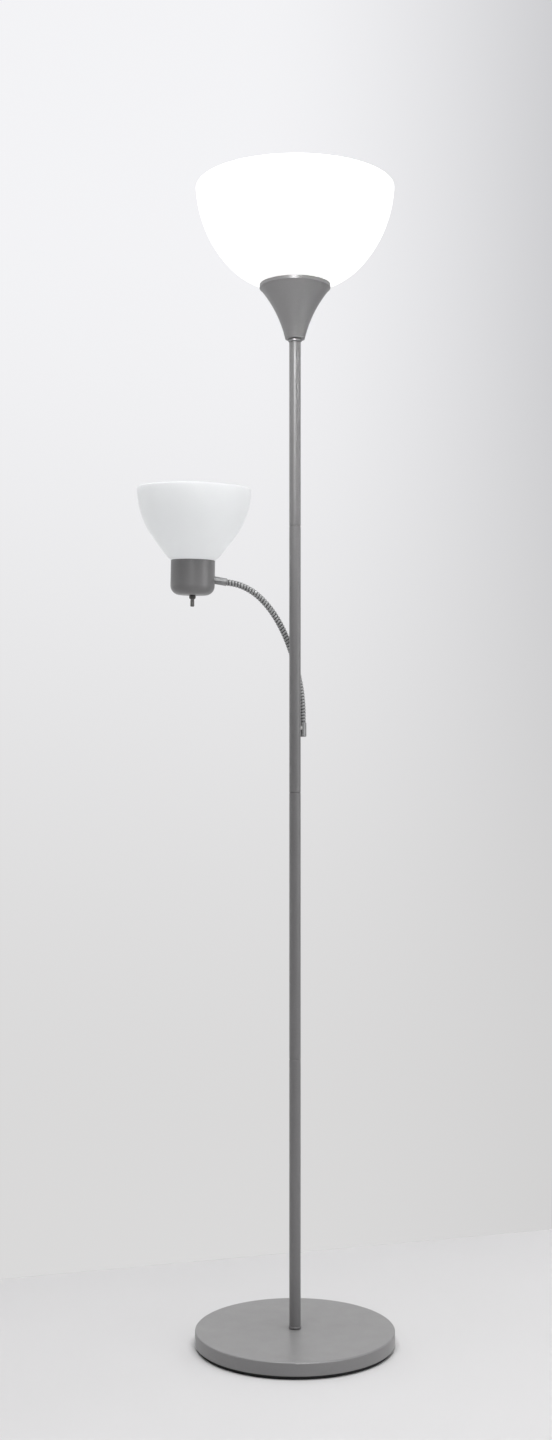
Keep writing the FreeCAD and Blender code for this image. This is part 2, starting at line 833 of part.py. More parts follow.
bowl_hole = socket_radius + slip_gap
upper_shade = turned("upper_shade", bowl_outline(
    bowl_rim_radius, bowl_floor + bowl_height, bowl_flat_radius, bowl_floor,
    bowl_floor_radius, bowl_slope, bowl_wall))
circle_pocket(upper_shade, "upper_shade_hole", "XY_Plane", 0, 0, bowl_hole,
              bowl_floor + bowl_height, True)
ring_outside = bowl_hole + ring_width
ring_rest = inside_floor(ring_outside, bowl_flat_radius, bowl_floor, bowl_floor_radius, bowl_wall)
ring_low = ring_rest + slip_gap
turned("upper_shade_ring", ring_outline(bowl_hole, ring_outside, ring_low,
                                        ring_low + ring_height))


# ---------------------------------------------------------------- reading light

# The reading light is drawn upright about its cup's axis, with the cup's bottom at zero and
# the gooseneck entering from +X, and is then placed on the end of the gooseneck.
arm_end = course.direction(course.length)
tilt = FreeCAD.Rotation(FreeCAD.Vector(0, 1, 0), number_of("head_tilt"))
nod = FreeCAD.Rotation(arm_end, -number_of("head_nod"))
head_turn = nod.multiply(tilt)
entry_spot = course.point(course.length + number_of("entry_length"))
entry_own = FreeCAD.Vector(number_of("cup_radius"), 0, number_of("entry_height"))
head_place = FreeCAD.Placement(entry_spot - head_turn.multVec(entry_own), head_turn)
fitting_place = course.place(course.length)


def on_head(thing):
    thing.Placement = head_place
    return thing


def on_arm_end(thing):
    thing.Placement = fitting_place
    return thing


bushing_hole = bushing_radius + slip_gap
cup_inside = cup_radius - cup_wall
cup_inner_corner = cup_corner - cup_wall
reading_cup = on_head(turned("reading_cup", [
    (bushing_hole, 0),
    (cup_radius - cup_corner, 0, cup_corner, 1),
    (cup_radius, cup_corner),
    (cup_radius, cup_height),
    (cup_inside, cup_height),
    (cup_inside, cup_corner, cup_inner_corner, -1),
    (cup_radius - cup_corner, cup_wall),
    (bushing_hole, cup_wall),
]))
circle_pocket(reading_cup, "arm_hole", "YZ_Plane", 0, entry_height,
              spigot_radius + spigot_play, cup_radius * 2, True)

sleeve = on_arm_end(turned("sleeve", [
    (hose_hole, 0),
    (fitting_radius - pole_edge, 0),
    (fitting_radius, pole_edge),
    (fitting_radius, entry_length + cope_length),
    (hose_bore, entry_length + cope_length),
    (hose_bore, hose_sink),
    (hose_hole, hose_sink),
], finished=False))
cup_room = cylinder("cup_room", cup_radius, cup_height)
cup_room.Placement = head_place
coped_sleeve = cut("coped_sleeve", sleeve, cup_room, finished=False)
spigot = on_arm_end(turned("spigot", ring_outline(
    hose_bore, spigot_radius, hose_sink + fitting_edge, entry_length + spigot_length),
    finished=False))
arm_upper_fitting = doc.addObject("Part::Fuse", "arm_upper_fitting_fuse")
arm_upper_fitting.Base = coped_sleeve
arm_upper_fitting.Tool = spigot
doc.recompute()
keep(arm_upper_fitting, "arm_upper_fitting")

lock_nut_low = entry_length + spigot_length - lock_nut_height
on_arm_end(turned("arm_lock_nut", ring_outline(spigot_radius + slip_gap, lock_nut_radius,
                                               lock_nut_low, lock_nut_low + lock_nut_height)))

shaft_hole = shaft_radius + turn_gap
switch_top = cup_wall + switch_height
on_head(turned("reading_switch", [
    (shaft_hole, -bushing_length),
    (bushing_radius, -bushing_length),
    (bushing_radius, cup_wall),
    (switch_radius, cup_wall),
    (switch_radius, switch_top),
    (0, switch_top),
    (0, switch_top - switch_wall),
    (shaft_hole, switch_top - switch_wall),
]))
on_head(turned("switch_nut", tube_outline(bushing_hole, bushing_nut_radius, -bushing_length, 0,
                                          pole_edge)))


def knob_shape():
    """The knob below the cup, with its shaft up through the bushing, and grip flutes."""
    top = -(bushing_length + turn_gap)
    low = top - knob_length
    body = turned("switch_knob", [
        (0, low),
        (knob_radius - knob_edge, low),
        (knob_radius, low + knob_edge),
        (knob_radius, top),
        (shaft_radius, top),
        (shaft_radius, top + shaft_length),
        (0, top + shaft_length),
    ])
    flute = circle_pocket(body, "knob_flute", "XY_Plane", knob_radius + knob_edge / 2, 0,
                          knob_edge, knob_length * 3, False)
    pattern = body.newObject("PartDesign::PolarPattern", "knob_flutes")
    pattern.Originals = [flute]
    pattern.Axis = (flute.Profile[0], ["N_Axis"])
    pattern.Angle = 360
    pattern.Occurrences = int(knob_flute_count.number)
    body.Tip = pattern
    doc.recompute()
    return body


switch_knob = on_head(knob_shape())

stand_outer = small_socket_radius - stand_wall / 2
stand_low = cup_wall
stand_high = cup_wall + stand_height
on_head(turned("socket_stand", [
    (stand_outer - stand_wall, stand_low),
    (stand_outer, stand_low),
    (stand_outer, stand_high),
    (thread_hole, stand_high),
    (thread_hole, stand_high - stand_wall),
    (stand_outer - stand_wall, stand_high - stand_wall),
]))

small_socket_high = stand_high + small_socket_length
small_cap_low = small_socket_high - small_cap_sink
small_contact_floor = small_cap_low - contact_wall
small_shell_inside = small_cap_radius + slip_gap
small_shell_outside = small_shell_inside + shell_wall
small_well_radius = small_shell_outside + slip_gap
on_head(turned("reading_socket", [
    (thread_hole, stand_high),
    (small_socket_radius, stand_high),
    (small_socket_radius, shade_lift - shoulder_wall),
    (small_shoulder_radius, shade_lift - shoulder_wall),
    (small_shoulder_radius, shade_lift),
    (small_socket_radius, shade_lift),
    (small_socket_radius, small_socket_high),
    (small_well_radius, small_socket_high),
    (small_well_radius, small_contact_floor),
    (thread_hole, small_contact_floor),
]))
on_head(turned("reading_socket_shell", ring_outline(small_shell_inside, small_shell_outside,
                                                    small_contact_floor,
                                                    small_socket_high - shell_wall)))
on_head(turned("reading_socket_contact", [
    (0, small_contact_floor), (small_contact_radius, small_contact_floor),
    (small_contact_radius, small_cap_low), (0, small_cap_low)]))
small_cap_top = small_cap_low + small_cap_length
on_head(turned("reading_bulb_cap", [
    (0, small_cap_low), (small_cap_radius - cap_bevel, small_cap_low),
    (small_cap_radius, small_cap_low + cap_bevel),
    (small_cap_radius, small_cap_top), (0, small_cap_top)]))
on_head(turned("reading_bulb_glass", bulb_outline(small_cap_top, small_cap_radius,
                                                  small_bulb_radius, small_bulb_length,
                                                  glass_wall)))

shade_hole = small_socket_radius + slip_gap
reading_shade = on_head(turned("reading_shade", bowl_outline(
    shade_rim_radius, shade_lift + shade_height, shade_flat_radius, shade_lift,
    shade_floor_radius, shade_slope, shade_wall, shade_cone_length)))
circle_pocket(reading_shade, "reading_shade_hole", "XY_Plane", 0, 0, shade_hole,
              shade_lift + shade_height, True)
small_ring_outside = shade_hole + ring_width
small_ring_rest = inside_floor(small_ring_outside, shade_flat_radius, shade_lift,
                               shade_floor_radius, shade_wall)
small_ring_low = small_ring_rest + slip_gap
on_head(turned("reading_shade_ring", ring_outline(shade_hole, small_ring_outside,
                                                  small_ring_low,
                                                  small_ring_low + ring_height)))


# ---------------------------------------------------------------- checks and files

doc.recompute()
for thing in doc.Objects:
    if "Invalid" in thing.State or "Error" in thing.State:
        raise ValueError(thing.Label + " has failed")
for piece in sub_parts:
    if piece.Shape.isNull() or not piece.Shape.isValid():
        raise ValueError(piece.Label + " has no good shape")
    if len(piece.Shape.Solids) != 1:
        raise ValueError(piece.Label + " is not one solid")

for piece in sub_parts:
    piece.Shape.exportStep(f"parts/{piece.Label}.step")


def show(label, vector):
    print(label, " ".join(f"{value:.4f}" for value in vector))


for number in range(1, link_count):
    show(f"joint {number} at", course.point(number * link_length))
    show(f"joint {number} along", course.direction(number * link_length))
show("switch at", head_place.Base)
show("switch axis", head_turn.multVec(FreeCAD.Vector(0, 0, 1)))
print("heights", pole_top.number, holder_top.number, bowl_floor.number, socket_high.number,
      (bowl_floor + bowl_height).number, "reading rim", (shade_lift + shade_height).number)
print(len(sub_parts), "pieces")
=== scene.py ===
import json
import math

import bpy
from mathutils import Matrix, Vector


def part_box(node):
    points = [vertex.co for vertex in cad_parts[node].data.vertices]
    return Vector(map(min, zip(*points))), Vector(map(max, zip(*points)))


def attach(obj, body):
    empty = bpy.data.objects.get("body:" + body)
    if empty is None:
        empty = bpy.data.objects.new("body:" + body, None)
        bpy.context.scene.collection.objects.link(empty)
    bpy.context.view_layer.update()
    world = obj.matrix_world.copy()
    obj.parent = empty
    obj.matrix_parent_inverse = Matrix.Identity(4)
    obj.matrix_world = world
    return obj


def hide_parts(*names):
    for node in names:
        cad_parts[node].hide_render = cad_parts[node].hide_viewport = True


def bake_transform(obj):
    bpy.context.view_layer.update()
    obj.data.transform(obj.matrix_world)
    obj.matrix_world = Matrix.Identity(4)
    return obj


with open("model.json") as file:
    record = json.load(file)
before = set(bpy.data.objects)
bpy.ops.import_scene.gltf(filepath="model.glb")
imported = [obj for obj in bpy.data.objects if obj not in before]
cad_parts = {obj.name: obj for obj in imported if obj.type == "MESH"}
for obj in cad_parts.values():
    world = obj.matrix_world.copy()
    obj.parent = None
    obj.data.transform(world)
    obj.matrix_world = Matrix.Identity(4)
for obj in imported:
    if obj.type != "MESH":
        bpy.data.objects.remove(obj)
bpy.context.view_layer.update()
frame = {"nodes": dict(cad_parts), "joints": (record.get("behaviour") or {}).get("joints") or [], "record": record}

# Looks of the torchiere with a reading light. Metres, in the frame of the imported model:
# +Z up, the viewer of the photograph on the -Y side, the reading light out towards -X.

MM = 0.001
JOINTS = {joint["name"]: joint for joint in frame["joints"]}
SLOTS = {part["node"]: part["material_slot"] for part in frame["record"]["subparts"]}


# ---------------------------------------------------------------- camera

PHOTO_HEIGHT = 1440                  # pixels
SENSOR = 36.0                        # millimetres, over the photograph's height
FOCAL_PIXELS = 1709
CAMERA_PLACE = Vector((-0.0285, -2.565, 0.860))
HORIZON_DROP = 52                    # pixels from the middle of the photograph down to the horizon


def make_camera():
    """The camera that took the photograph: level, looking along +Y, shifted up."""
    data = bpy.data.cameras.new("camera")
    data.sensor_width = SENSOR
    data.lens = SENSOR * FOCAL_PIXELS / PHOTO_HEIGHT
    data.shift_y = HORIZON_DROP / PHOTO_HEIGHT
    camera = bpy.data.objects.new("camera", data)
    camera.location = CAMERA_PLACE
    camera.rotation_euler = (math.radians(90), 0, 0)
    bpy.context.scene.collection.objects.link(camera)
    bpy.context.scene.camera = camera


# ---------------------------------------------------------------- materials

LACQUER = (0.268, 0.265, 0.267)
# a darker copy of the base's lacquer for the pole and holder: painted shade on their upright sides
TUBE_LACQUER_SHADED = (0.222, 0.219, 0.221)
OPAL_GLOW = 0.85                     # the lit bowl's
UNLIT_BOWL_PAINTED_GLOW = 0.07                     # painted glow of the unlit bowl, for light of the room that the lamps leave out
MATT_THROUGH = 0.45                  # the share of the light that the unlit bowl lets through
LIT_BULB_GLOW = 2.5                  # of the bulb in the lit bowl
PATTERN_RANGE = (0.3, 0.7)           # where most values of a noise lie
RIB_VALUE = "rib"                    # the value that the hose's points carry, low in the grooves where the hose finish paints shade


class Finish:
    """A material, with short ways of adding patterns to its main shader."""

    def __init__(self, name, colour, roughness, metallic=0.0):
        self.material = bpy.data.materials.new(name)
        self.material.use_nodes = True
        self.nodes = self.material.node_tree.nodes
        self.links = self.material.node_tree.links
        self.shader = self.nodes["Principled BSDF"]
        self.shader.inputs["Base Color"].default_value = (*colour, 1)
        self.shader.inputs["Roughness"].default_value = roughness
        self.shader.inputs["Metallic"].default_value = metallic
        self.colour = colour
        self.roughness = roughness

    def place(self, stretch=(1, 1, 1)):
        """The point on the object, in metres, stretched along its axes."""
        coordinates = self.nodes.new("ShaderNodeTexCoord")
        mapping = self.nodes.new("ShaderNodeMapping")
        mapping.inputs["Scale"].default_value = stretch
        self.links.new(coordinates.outputs["Object"], mapping.inputs["Vector"])
        return mapping.outputs["Vector"]

    def noise(self, size, detail=2.0, stretch=(1, 1, 1)):
        """Soft random spots about that large, in metres."""
        texture = self.nodes.new("ShaderNodeTexNoise")
        texture.inputs["Scale"].default_value = 1 / size
        texture.inputs["Detail"].default_value = detail
        self.links.new(self.place(stretch), texture.inputs["Vector"])
        return texture.outputs["Fac"]

    def cells(self, size):
        """Grains about that large, each of its own shade."""
        texture = self.nodes.new("ShaderNodeTexVoronoi")
        texture.inputs["Scale"].default_value = 1 / size
        self.links.new(self.place(), texture.inputs["Vector"])
        grey = self.nodes.new("ShaderNodeSeparateColor")
        self.links.new(texture.outputs["Color"], grey.inputs["Color"])
        return grey.outputs["Red"]

    def carried(self, name):
        """A value that the mesh carries at its points."""
        attribute = self.nodes.new("ShaderNodeAttribute")
        attribute.attribute_name = name
        return attribute.outputs["Fac"]

    def between(self, pattern, low, high):
        """The pattern's middle range, spread from low to high."""
        spread = self.nodes.new("ShaderNodeMapRange")
        spread.inputs["From Min"].default_value = PATTERN_RANGE[0]
        spread.inputs["From Max"].default_value = PATTERN_RANGE[1]
        spread.inputs["To Min"].default_value = low
        spread.inputs["To Max"].default_value = high
        self.links.new(pattern, spread.inputs["Value"])
        return spread.outputs["Result"]

    def shade(self, *layers):
        """Varies the colour. Each layer is a pattern, and the share by which it changes it."""
        strength = None
        for pattern, share in layers:
            layer = self.between(pattern, 1 - share, 1 + share)
            if strength is None:
                strength = layer
                continue
            product = self.nodes.new("ShaderNodeMath")
            product.operation = "MULTIPLY"
            self.links.new(strength, product.inputs[0])
            self.links.new(layer, product.inputs[1])
            strength = product.outputs["Value"]
        scale = self.nodes.new("ShaderNodeVectorMath")
        scale.operation = "SCALE"
        scale.inputs[0].default_value = self.colour
        self.links.new(strength, scale.inputs["Scale"])
        self.links.new(scale.outputs["Vector"], self.shader.inputs["Base Color"])
        return self

    def gloss(self, pattern, spread):
        """Varies the roughness by that much either way; a minus makes low values the dull ones."""
        value = self.between(pattern, self.roughness - spread, self.roughness + spread)
        self.links.new(value, self.shader.inputs["Roughness"])
        return self

    def bump(self, pattern, height):
        """Raises the surface by the pattern, height in metres."""
        node = self.nodes.new("ShaderNodeBump")
        node.inputs["Distance"].default_value = height
        self.links.new(pattern, node.inputs["Height"])
        self.links.new(node.outputs["Normal"], self.shader.inputs["Normal"])
        return self

    def glow(self, colour, strength):
        """Gives off light of its own."""
        self.shader.inputs["Emission Color"].default_value = (*colour, 1)
        self.shader.inputs["Emission Strength"].default_value = strength
        return self

    def translucent(self, colour, share):
        """Lets that share of the light through, scattered."""
        through = self.nodes.new("ShaderNodeBsdfTranslucent")
        through.inputs["Color"].default_value = (*colour, 1)
        mix = self.nodes.new("ShaderNodeMixShader")
        mix.inputs["Fac"].default_value = share
        output = self.nodes["Material Output"]
        self.links.new(self.shader.outputs["BSDF"], mix.inputs[1])
        self.links.new(through.outputs["BSDF"], mix.inputs[2])
        self.links.new(mix.outputs["Shader"], output.inputs["Surface"])
        return self


def lacquer(name, colour):
    """Satin silver-grey paint: fine flakes, a soft orange-peel surface, faint clouding."""
    finish = Finish(name, colour, 0.37, metallic=0.1)
    finish.shade((finish.noise(0.12), 0.025), (finish.cells(0.0004), 0.06))
    finish.gloss(finish.noise(0.03), 0.04)
    return finish.bump(finish.noise(0.0016), 0.00002)


def brushed(name, colour, roughness, stretch=(1, 1, 0.05)):
    """Bare or plated metal with fine drawn lines."""
    finish = Finish(name, colour, roughness, metallic=1.0)
    lines = finish.noise(0.0006, 3.0, stretch)
    finish.shade((lines, 0.08), (finish.noise(0.02), 0.05))
    finish.gloss(finish.noise(0.008), 0.07)
    return finish.bump(lines, 0.00001)


def ribbed_metal(name, colour, roughness):
    """Plated metal that is duller in its grooves, with painted shade there: darker where the mesh's rib value is
    low, lighter where it is high.
    """
    finish = Finish(name, colour, roughness, metallic=0.35)
    ribs = finish.carried(RIB_VALUE)
    # painted shade: darker in the grooves, lighter on the crests
    finish.shade((ribs, 0.5), (finish.noise(0.02), 0.05))
    finish.gloss(ribs, -0.08)
    return finish.bump(finish.noise(0.0006, 3.0), 0.00001)


def moulded(name, colour, roughness):
    """Moulded plastic with a fine spark-eroded grain."""
    finish = Finish(name, colour, roughness)
    finish.shade((finish.noise(0.05), 0.03))
    finish.gloss(finish.noise(0.02), 0.05)
    return finish.bump(finish.noise(0.0007), 0.00002)


def concrete():
    """Rough cast concrete with grains of sand in it."""
    finish = Finish("concrete", (0.35, 0.34, 0.32), 0.9)
    finish.shade((finish.noise(0.03, 4.0), 0.12), (finish.cells(0.003), 0.15))
    return finish.bump(finish.noise(0.002, 5.0), 0.0004)


def foam():
    """Fine black foam."""
    finish = Finish("pad_foam", (0.03, 0.03, 0.03), 0.95)
    finish.shade((finish.cells(0.0009), 0.25))
    return finish.bump(finish.noise(0.0008), 0.0002)


def opal():
    """The lit bowl: white plastic that glows all over, a little clouded."""
    finish = Finish("opal_shade", (0.60, 0.60, 0.595), 0.3).glow((1.0, 0.995, 0.985), OPAL_GLOW)
    finish.shade((finish.noise(0.04), 0.01))
    finish.gloss(finish.noise(0.01), 0.03)
    return finish.bump(finish.noise(0.006), 0.00002)


def matt_shade():
    """The unlit bowl: frosted white plastic that lets light through, with a faint painted glow for room light that
    the lamps leave out.
    """
    finish = Finish("matt_shade", (0.92, 0.925, 0.928), 0.75)
    finish.shade((finish.noise(0.035), 0.012))
    finish.gloss(finish.noise(0.01), 0.04)
    finish.bump(finish.noise(0.0012), 0.00003)
    finish.shader.inputs["Specular IOR Level"].default_value = 0.25
    # painted glow: the unlit bowl gives off a little light of its own
    finish.glow((1.0, 1.0, 1.0), UNLIT_BOWL_PAINTED_GLOW)
    return finish.translucent((0.93, 0.94, 0.945), MATT_THROUGH)


def bulb_glass(name, strength):
    """Pearl glass of a bulb, with the strength of its own light."""
    finish = Finish(name, (0.92, 0.92, 0.90), 0.35)
    finish.shade((finish.noise(0.01), 0.01))
    finish.gloss(finish.noise(0.004), 0.05)
    finish.shader.inputs["Transmission Weight"].default_value = 0.3
    return finish.glow((1.0, 0.98, 0.94), strength)


FINISHES = {
    "base_lacquer": lacquer("base_lacquer", LACQUER),
    # the pole and holder take the darker copy of the lacquer: painted shade
    "pole_lacquer": lacquer("pole_lacquer", TUBE_LACQUER_SHADED),
    "holder_lacquer": lacquer("holder_lacquer", TUBE_LACQUER_SHADED),
    "dark_metal": brushed("dark_metal", (0.11, 0.108, 0.105), 0.38),
    "concrete": concrete(),
    "black_plastic": moulded("black_plastic", (0.025, 0.025, 0.026), 0.5),
    "pad_foam": foam(),
    "zinc": brushed("zinc", (0.55, 0.56, 0.57), 0.35),
    "bright_nickel": brushed("bright_nickel", (0.78, 0.77, 0.75), 0.18),
    "hose_nickel": ribbed_metal("hose_nickel", (0.265, 0.267, 0.268), 0.5),
    "white_plastic": moulded("white_plastic", (0.80, 0.80, 0.78), 0.4),
    "aluminium": brushed("aluminium", (0.80, 0.80, 0.80), 0.28, (1, 1, 20)),
    "brass": brushed("brass", (0.75, 0.60, 0.30), 0.3, (1, 1, 20)),
    "opal_shade": opal(),
    "matt_shade": matt_shade(),
    "knob_metal": brushed("knob_metal", (0.20, 0.195, 0.19), 0.34),
    "bulb_glass": bulb_glass("bulb_glass", 0.0),
}
LIT_GLASS = bulb_glass("lit_bulb_glass", LIT_BULB_GLOW)
FITTING_METAL = brushed("fitting_metal", (0.30, 0.302, 0.304), 0.45)
OWN_FINISHES = {
    "upper_bulb_glass": LIT_GLASS,
    "neck_ring": FITTING_METAL,
    "arm_lower_fitting": FITTING_METAL,
    "arm_upper_fitting": FITTING_METAL,
}


def dress_nodes():
    """Gives every CAD node the finish of its slot in the record, or one of its own."""
    for node, slot in SLOTS.items():
        mesh = frame["nodes"][node].data
        mesh.materials.clear()
        mesh.materials.append(OWN_FINISHES.get(node, FINISHES[slot]).material)


# ---------------------------------------------------------------- pieces of revolution

SPIN_STEPS = 192


def arc(centre, radius, start, end, steps):
    """Points on an arc in the (radius, height) plane; angles in degrees from the outward axis."""
    points = []
    for index in range(steps + 1):
        angle = math.radians(start + (end - start) * index / steps)
        points.append((centre[0] + radius * math.cos(angle), centre[1] + radius * math.sin(angle)))
    return points


def mesh_piece(name, vertices, faces, finish, sharp=35):
    """A smooth mesh, with edges kept where its faces meet at more than sharp degrees."""
    mesh = bpy.data.meshes.new(name)
    mesh.from_pydata(vertices, [], faces)
    mesh.materials.append(finish.material)
    mesh.polygons.foreach_set("use_smooth", [True] * len(faces))
    mesh.set_sharp_from_angle(angle=math.radians(sharp))
    mesh.validate()
    piece = bpy.data.objects.new(name, mesh)
    bpy.context.scene.collection.objects.link(piece)
    return piece


def turned(name, outline, place, finish, ripple=None):
    """Spins a closed outline about the place's Z axis. ripple(angle) scales the radius."""
    count = len(outline)
    vertices, faces = [], []
    for step in range(SPIN_STEPS):
        angle = 2 * math.pi * step / SPIN_STEPS
        swell = ripple(angle) if ripple else 1
        for radius, height in outline:
            reach = radius * swell
            spot = Vector((reach * math.cos(angle), reach * math.sin(angle), height))
            vertices.append(place @ spot)
        following = (step + 1) % SPIN_STEPS
        for index in range(count):
            after = (index + 1) % count
            faces.append((step * count + index, following * count + index,
                          following * count + after, step * count + after))
    return mesh_piece(name, vertices, faces, finish)


def reading_place():
    """The reading light's own frame: the bottom of its cup, and its axis upwards."""
    joint = JOINTS["switch_turn"]
    turn = Vector(joint["axis"]).to_track_quat("Z", "Y").to_matrix().to_4x4()
    return Matrix.Translation(joint["pos_m"]) @ turn


def stand_for(node):
    """Hides the node whose place the piece takes."""
    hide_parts(node)


# ---------------------------------------------------------------- shades

# The sizes of both bowls, as the solids have them; slopes in degrees.
UPPER_BOWL = {
    "height": 148.4 * MM,
    "flat_radius": 16.8 * MM,
    "floor_radius": 116.4 * MM,
    "slope": 42.2,
    "wall": 2.5 * MM,
}
READING_BOWL = {
    "rim_radius": 86 * MM,
    "height": 113.6 * MM,
    "flat_radius": 11.7 * MM,
    "floor_radius": 38 * MM,
    "slope": 37.3,
    "wall": 2 * MM,
    "cone": 29 * MM,
}
UPPER_HOLE = 19.6 * MM               # radius
READING_HOLE = 13.6 * MM
READING_BOWL_LIFT = 46 * MM          # above the bottom of the cup
FLOOR_STEPS = 24
RIM_STEPS = 30
LIP_STEPS = 8


class Bowl:
    """The two arcs of a bowl's outer wall, as the solids have them, with a rounded lip.

    The floor arc runs from the flat floor out to a wall that leans by slope from upright. Then
    comes a straight cone, and a last arc that leaves it smoothly and ends at the rim.
    """

    def __init__(self, rim_radius, height, flat_radius, floor_radius, slope, wall, cone=0.0):
        self.wall = wall
        self.floor_radius = floor_radius
        self.floor_centre = (flat_radius, floor_radius)
        lean = math.radians(slope)
        out_x, out_y = math.cos(lean), -math.sin(lean)
        start_x = flat_radius + floor_radius * out_x + cone * math.sin(lean)
        start_y = floor_radius + floor_radius * out_y + cone * math.cos(lean)
        run_x, run_y = rim_radius - start_x, height - start_y
        self.rim_arc = -(run_x ** 2 + run_y ** 2) / (run_x * out_x + run_y * out_y) / 2
        self.rim_centre = (start_x - self.rim_arc * out_x, start_y - self.rim_arc * out_y)
        self.slope = slope
        middle = self.rim_arc - wall / 2
        lip_rise = (height - wall / 2 - self.rim_centre[1]) / middle
        self.lip_angle = math.degrees(math.asin(lip_rise))
        self.lip_centre = (self.rim_centre[0] + middle * math.cos(math.radians(self.lip_angle)),
                           height - wall / 2)

    def floor_angle(self, radius, reach):
        """Where the floor arc of that radius comes that near to the axis."""
        return -math.degrees(math.acos((reach - self.floor_centre[0]) / radius))

    def outline(self, hole):
        """Up the outside from the hole, over the lip, and down the inside."""
        outer, inner = self.floor_radius, self.floor_radius - self.wall
        low, high = -self.slope, self.lip_angle
        return (arc(self.floor_centre, outer, self.floor_angle(outer, hole), low, FLOOR_STEPS)
                + arc(self.rim_centre, self.rim_arc, low, high, RIM_STEPS)
                + arc(self.lip_centre, self.wall / 2, high, high + 180, LIP_STEPS)[1:-1]
                + arc(self.rim_centre, self.rim_arc - self.wall, high, low, RIM_STEPS)
                + arc(self.floor_centre, inner, low, self.floor_angle(inner, hole), FLOOR_STEPS))


def make_upper_shade():
    """The glowing opal bowl."""
    low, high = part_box("upper_shade")
    bowl = Bowl(rim_radius=(high.x - low.x) / 2, **UPPER_BOWL)
    place = Matrix.Translation((0, 0, high.z - UPPER_BOWL["height"]))
    piece = turned("opal_bowl", bowl.outline(UPPER_HOLE), place, FINISHES["opal_shade"])
    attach(piece, "stand")
    stand_for("upper_shade")


def make_reading_shade():
    """The frosted bowl of the reading light."""
    bowl = Bowl(**READING_BOWL)
    place = reading_place() @ Matrix.Translation((0, 0, READING_BOWL_LIFT))
    piece = turned("frosted_bowl", bowl.outline(READING_HOLE), place, FINISHES["matt_shade"])
    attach(piece, "reading_head")
    stand_for("reading_shade")


# ---------------------------------------------------------------- switch

# Heights are above the bottom of the cup.
KNOB_TOP = -6.3 * MM
KNOB_LOW = -17.4 * MM
KNOB_RADIUS = 3.0 * MM
KNOB_ROUND = 1.1 * MM                # of its free end
KNOB_ROUND_STEPS = 6
KNOB_BEVEL = 0.3 * MM
KNOB_GROOVE = 0.35 * MM              # deep
KNOB_GROOVE_EDGES = (2.2 * MM, 1.8 * MM, 1.2 * MM, 0.8 * MM)    # below the knob's top
KNOB_RIBS, KNOB_RIB_DEPTH = 16, 0.07    # the depth is a share of the radius
SHAFT_RADIUS = 2.0 * MM
SHAFT_TOP = 5.7 * MM
NUT_RADIUS = 5.0 * MM
NUT_BORE = 3.6 * MM
NUT_LOW = -6.0 * MM
NUT_CONE_WIDTH = 1.2 * MM
NUT_CONE_HEIGHT = 1.6 * MM
NUT_STEP = 0.4 * MM
NUT_STEP_EDGES = (-1.2 * MM, -0.8 * MM)
NUT_RIBS, NUT_RIB_DEPTH = 20, 0.05
KNURL_POWER = 0.7                    # under 1, so the ribs are sharp and the grooves round


def knurl(count, depth):
    """Shallow grip grooves round a turned piece."""
    return lambda angle: 1 - depth * abs(math.sin(count * angle / 2)) ** KNURL_POWER


def make_switch():
    """The ribbed knob below the cup, its shaft, and the grip nut of the switch."""
    place = reading_place()
    dome = arc((KNOB_RADIUS - KNOB_ROUND, KNOB_LOW + KNOB_ROUND), KNOB_ROUND, -90, 0,
               KNOB_ROUND_STEPS)
    groove = KNOB_RADIUS - KNOB_GROOVE
    edges = [KNOB_TOP - edge for edge in KNOB_GROOVE_EDGES]
    grip = turned("switch_knob_grip", [(0.0, KNOB_LOW)] + dome + [
        (KNOB_RADIUS, edges[0]), (groove, edges[1]), (groove, edges[2]), (KNOB_RADIUS, edges[3]),
        (KNOB_RADIUS - KNOB_BEVEL, KNOB_TOP), (0.0, KNOB_TOP)],
        place, FINISHES["knob_metal"], knurl(KNOB_RIBS, KNOB_RIB_DEPTH))
    shaft = turned("switch_knob_shaft", [
        (0.0, KNOB_TOP), (SHAFT_RADIUS, KNOB_TOP), (SHAFT_RADIUS, SHAFT_TOP), (0.0, SHAFT_TOP)],
        place, FINISHES["zinc"])
    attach(grip, "knob")
    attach(shaft, "knob")
    stand_for("switch_knob")
    step = NUT_RADIUS - NUT_STEP
    nut = turned("switch_grip_nut", [
        (NUT_BORE, NUT_LOW), (NUT_RADIUS - NUT_CONE_WIDTH, NUT_LOW),
        (NUT_RADIUS, NUT_LOW + NUT_CONE_HEIGHT), (NUT_RADIUS, NUT_STEP_EDGES[0]),
        (step, NUT_STEP_EDGES[1]), (step, 0.0), (NUT_BORE, 0.0)],
        place, FINISHES["dark_metal"], knurl(NUT_RIBS, NUT_RIB_DEPTH))
    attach(nut, "reading_head")
    stand_for("switch_nut")


# ---------------------------------------------------------------- gooseneck

HOSE_LENGTH = 260.8 * MM
HOSE_STRAIGHT = 10 * MM              # at either end
HOSE_SINK = 3.9 * MM                 # how deep its ends sit in the fittings
HOSE_LINKS = 8
LINK_RIBS = 7
LINK_LENGTH = HOSE_LENGTH / HOSE_LINKS
RIB_PITCH = LINK_LENGTH / LINK_RIBS
CREST_RADIUS = 5.0 * MM
GROOVE_RADIUS = 4.2 * MM
CREST_SHARE = 0.66                   # of the pitch
CREST_POWER = 6                      # the higher, the squarer the crests
BEND_TOTAL = 80                      # degrees
BEND_START = 55.7                    # its share that comes evenly
BEND_END = 60                        # its share that comes mostly towards the upper end
COURSE_STEP = 0.25 * MM
ROWS_PER_PITCH = 22
HOSE_COLUMNS = 36


